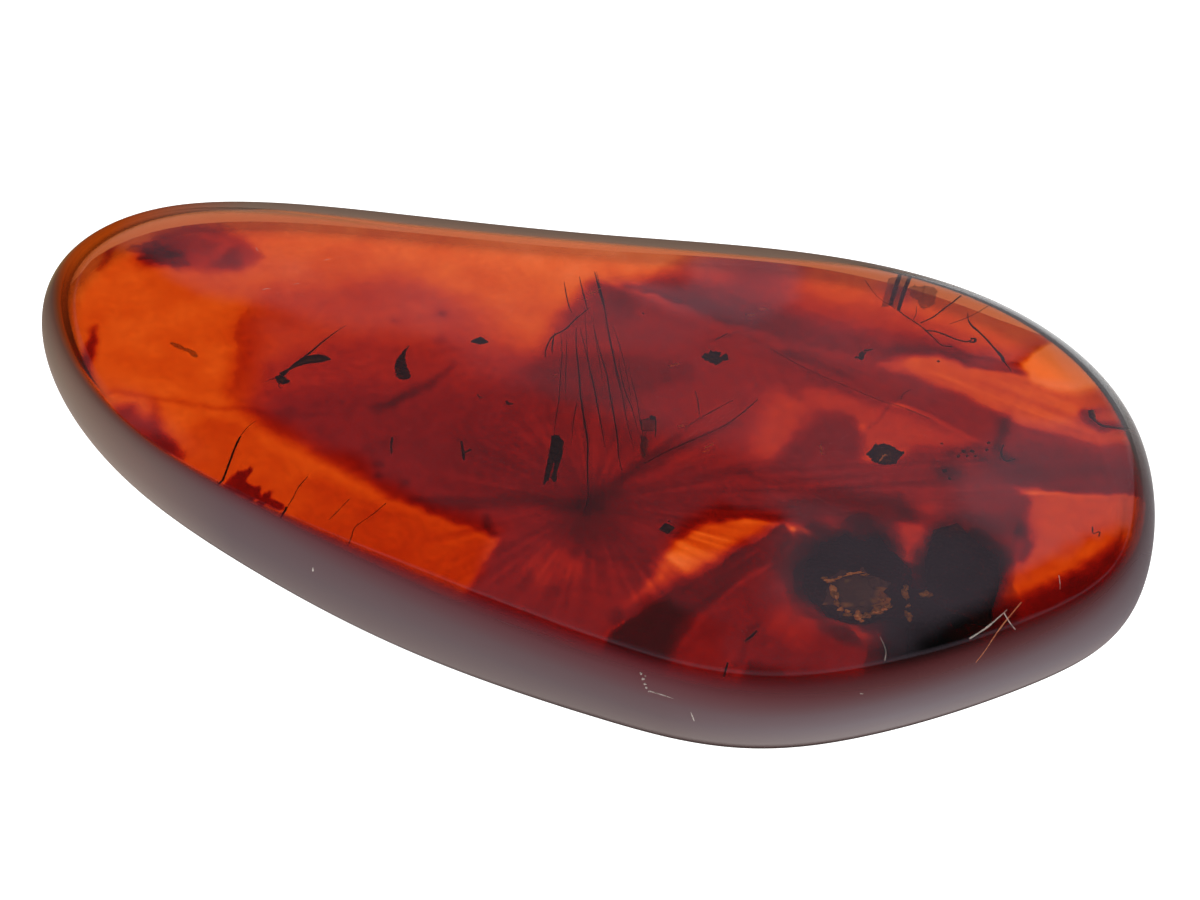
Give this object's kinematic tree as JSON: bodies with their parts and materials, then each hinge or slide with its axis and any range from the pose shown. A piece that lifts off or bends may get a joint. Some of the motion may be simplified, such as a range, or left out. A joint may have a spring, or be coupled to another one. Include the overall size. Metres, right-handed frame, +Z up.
{
  "type": "amber fossil",
  "caption": "Polished flat slab of clear dark amber with insects, wood splinter, bark and plant hairs sealed inside, lying on its flat face.",
  "frame": {"origin": "middle of the bounding box, on the plane the slab lies on", "axes": "+X along the slab from its narrow end to its wide end, +Z up through its thickness"},
  "size_m": [0.0535, 0.0319, 0.0044],
  "materials": {
    "amber": "polished clear dark amber",
    "chitin": "dark insect shell, slightly shiny",
    "wood": "blackened old wood and plant hair, matt",
    "bark": "blackened bark, rough and matt",
    "brown_bark": "gold-brown bark, rough and matt"
  },
  "bodies": {
    "root": {"amber_upper": "amber", "amber_lower": "amber", "wasp": "chitin", "beetle": "chitin", "midge": "chitin", "insect_leg": "chitin", "insect_feeler": "chitin", "wood_splinter": "wood", "seed_husk": "wood", "twig_stub": "wood", "twig_bit": "wood", "plant_hair_1": "wood", "plant_hair_2": "wood", "plant_hair_3": "wood", "plant_hair_4": "wood", "needle_1": "wood", "needle_2": "wood", "needle_3": "wood", "flake_1": "bark", "flake_2": "bark", "flake_3": "bark", "flake_4": "bark", "dust_blob": "bark", "frass_blob": "bark", "bark_mass": "bark", "bark_clot": "bark", "bark_crumb": "brown_bark"}
  },
  "joints": []
}
